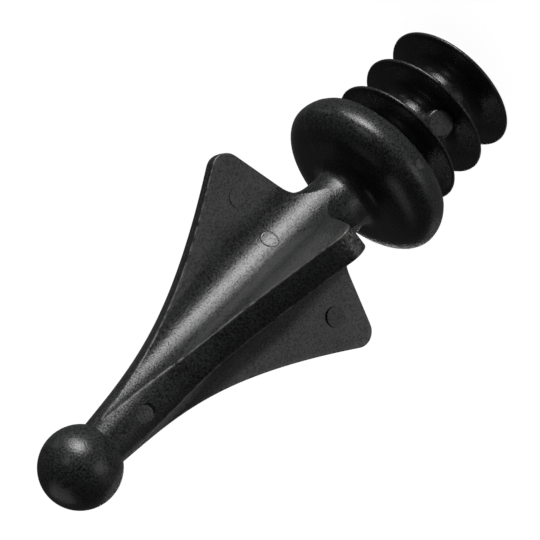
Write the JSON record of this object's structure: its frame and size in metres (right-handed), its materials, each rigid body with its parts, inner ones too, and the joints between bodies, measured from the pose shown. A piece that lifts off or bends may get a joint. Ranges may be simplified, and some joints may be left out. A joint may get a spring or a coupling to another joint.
{
  "type": "pole finial",
  "caption": "Push-in finial for a round pole: a plug with thin gripping fins, a domed collar that caps the tube, and a winged spear with hollow flanks topped by a ball.",
  "frame": {"origin": "centre of the plug's flat end face, on the pole's axis", "axes": "+Z along the pole's axis towards the ball, X across the pair of thin wings in the mould's parting plane, -Y the side with the ejector pad"},
  "size_m": [0.0398, 0.0398, 0.0976],
  "materials": {
    "black_plastic": "satin moulded"
  },
  "bodies": {
    "root": {"pole_finial": "black_plastic"}
  },
  "joints": []
}
